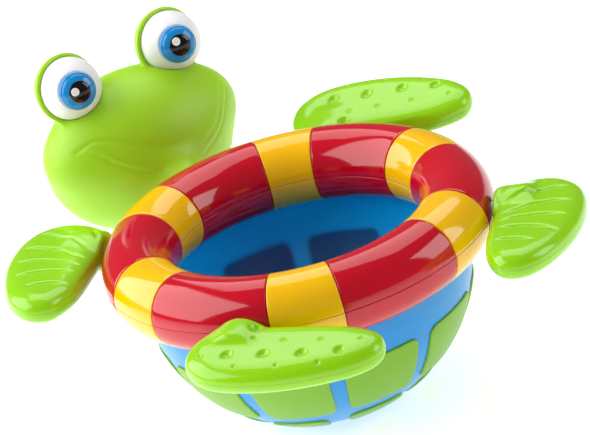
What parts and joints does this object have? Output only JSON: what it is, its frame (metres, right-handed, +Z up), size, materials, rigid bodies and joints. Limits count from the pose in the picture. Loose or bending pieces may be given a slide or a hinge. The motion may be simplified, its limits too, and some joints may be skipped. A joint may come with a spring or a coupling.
{
  "type": "floating turtle bath toy basket",
  "caption": "Floating turtle bath toy: an open bowl hung in a hollow striped ring, with a goggle-eyed head that turns and flippers that swivel on pegs.",
  "frame": {"origin": "centre of the flat face under the bowl", "axes": "+Z up along the ring's axis, +Y towards the head, +X to the right as the head faces away"},
  "size_m": [0.2215, 0.2682, 0.1325],
  "materials": {
    "ring_red": "glossy injection-moulded plastic",
    "band_yellow": "glossy injection-moulded plastic",
    "bowl_blue": "glossy, slightly translucent plastic",
    "scute_green": "satin plastic",
    "head_green": "soft satin vinyl",
    "flipper_green": "glossy plastic",
    "eye_white": "glossy plastic",
    "iris_blue": "glossy plastic",
    "pupil_black": "glossy paint",
    "peg_white": "natural acetal"
  },
  "bodies": {
    "body": {"ring_upper_shell": "ring_red", "ring_lower_shell": "ring_red", "band_upper_1": "band_yellow", "band_upper_2": "band_yellow", "band_upper_3": "band_yellow", "band_upper_4": "band_yellow", "band_upper_5": "band_yellow", "band_upper_6": "band_yellow", "band_lower_1": "band_yellow", "band_lower_2": "band_yellow", "band_lower_3": "band_yellow", "band_lower_4": "band_yellow", "band_lower_5": "band_yellow", "band_lower_6": "band_yellow", "bowl": "bowl_blue", "scutes_upper_row": "scute_green", "scutes_lower_row": "scute_green"},
    "head": {"head_shell": "head_green", "neck_plug": "peg_white", "eye_left_white": "eye_white", "eye_left_iris": "iris_blue", "eye_left_pupil": "pupil_black", "eye_right_white": "eye_white", "eye_right_iris": "iris_blue", "eye_right_pupil": "pupil_black"},
    "flipper_front_left": {"flipper_front_left_fan_half": "flipper_green", "flipper_front_left_dimpled_half": "flipper_green", "flipper_front_left_axle": "peg_white"},
    "flipper_front_right": {"flipper_front_right_fan_half": "flipper_green", "flipper_front_right_dimpled_half": "flipper_green", "flipper_front_right_axle": "peg_white"},
    "flipper_rear_left": {"flipper_rear_left_fan_half": "flipper_green", "flipper_rear_left_dimpled_half": "flipper_green", "flipper_rear_left_axle": "peg_white"},
    "flipper_rear_right": {"flipper_rear_right_fan_half": "flipper_green", "flipper_rear_right_dimpled_half": "flipper_green", "flipper_rear_right_axle": "peg_white"}
  },
  "joints": [
    {"name": "head_turn", "type": "hinge", "parent": "body", "child": "head", "pos_m": [0, 0.08, 0.0722], "axis": [0, 1, 0], "range_deg": [-25, 25]},
    {"name": "flipper_front_left_swivel", "type": "hinge", "parent": "body", "child": "flipper_front_left", "pos_m": [-0.05353, 0.05945, 0.0722], "axis": [-0.6691, 0.7431, 0], "range_deg": [-120, 120]},
    {"name": "flipper_front_right_swivel", "type": "hinge", "parent": "body", "child": "flipper_front_right", "pos_m": [0.05353, 0.05945, 0.0722], "axis": [0.6691, 0.7431, 0], "range_deg": [-120, 120]},
    {"name": "flipper_rear_left_swivel", "type": "hinge", "parent": "body", "child": "flipper_rear_left", "pos_m": [-0.05945, -0.05353, 0.0722], "axis": [-0.7431, -0.6691, 0], "continuous": true},
    {"name": "flipper_rear_right_swivel", "type": "hinge", "parent": "body", "child": "flipper_rear_right", "pos_m": [0.05945, -0.05353, 0.0722], "axis": [0.7431, -0.6691, 0], "continuous": true}
  ]
}
